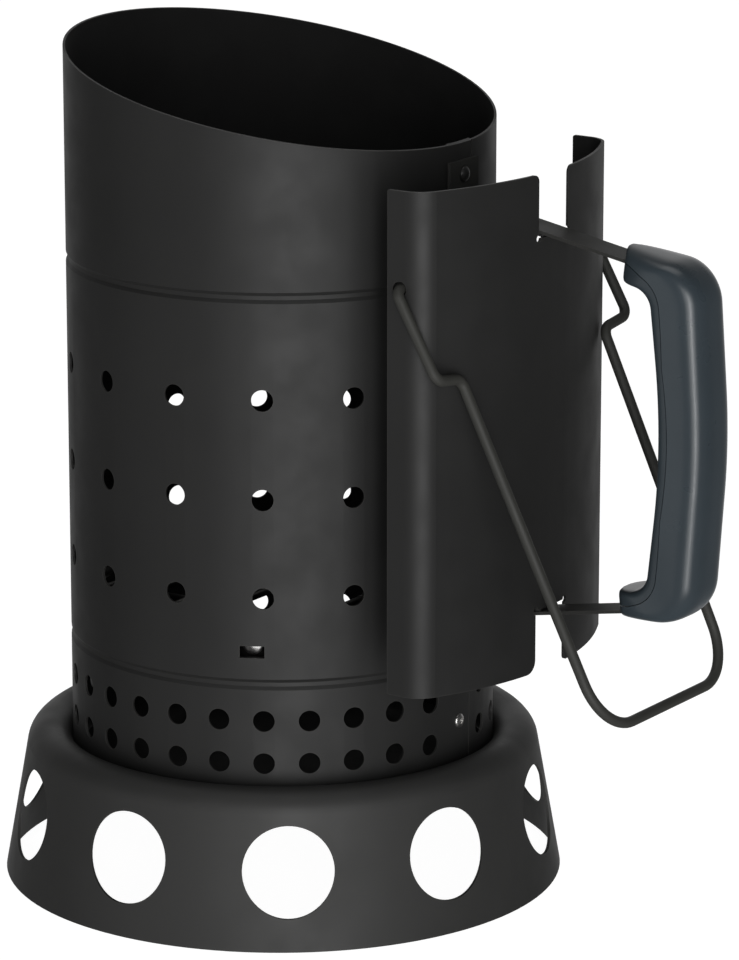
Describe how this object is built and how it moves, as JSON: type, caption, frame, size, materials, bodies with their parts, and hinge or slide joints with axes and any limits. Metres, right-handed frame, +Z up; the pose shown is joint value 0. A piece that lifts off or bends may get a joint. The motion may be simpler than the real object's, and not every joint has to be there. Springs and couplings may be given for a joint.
{
  "type": "chimney charcoal starter",
  "caption": "Tall perforated steel tube with a slanted mouth on a vented flared base, with a heat shield, a plastic grip, a hinged wire bail and a loose charcoal grate.",
  "frame": {"origin": "centre of the circle that the base stands on", "axes": "+Z up along the tube, +X towards the handle, +Y to the handle's left seen from above"},
  "size_m": [0.3321, 0.2388, 0.3602],
  "materials": {
    "black_steel": "matte high-temperature black",
    "wire_steel": "satin black",
    "black_fasteners": "satin black",
    "rivet_aluminium": "satin",
    "screw_steel": "satin",
    "stud_steel": "satin",
    "grate_steel": "dull, heat-stained",
    "grip_plastic": "satin blue-grey",
    "grip_cover_plastic": "satin blue-grey"
  },
  "bodies": {
    "starter": {"chimney_tube": "black_steel", "seam_rivets": "rivet_aluminium", "base_ring": "black_steel", "base_rivets": "black_fasteners", "floor_plate": "black_steel", "heat_shield": "black_steel", "shield_clip_upper": "black_steel", "shield_clip_lower": "black_steel", "handle_strap": "black_steel", "strap_rivets": "black_fasteners", "grip_outer_shell": "grip_plastic", "grip_inner_cover": "grip_cover_plastic", "grip_screws": "screw_steel"},
    "bail": {"wire_bail": "wire_steel", "bail_retainers": "black_fasteners"},
    "grate": {"grate_ring": "grate_steel", "grate_bars": "grate_steel", "grate_cross_bars": "grate_steel", "grate_lugs": "grate_steel", "lug_studs": "stud_steel"}
  },
  "joints": [
    {"name": "bail_swing", "type": "hinge", "parent": "starter", "child": "bail", "pos_m": [0.1063, 0, 0.2776], "axis": [0, -1, 0], "range_deg": [0, 126]},
    {"name": "grate_lift", "type": "slide", "parent": "starter", "child": "grate", "axis": [0, 0, 1], "range_m": [0, 0.25]}
  ]
}
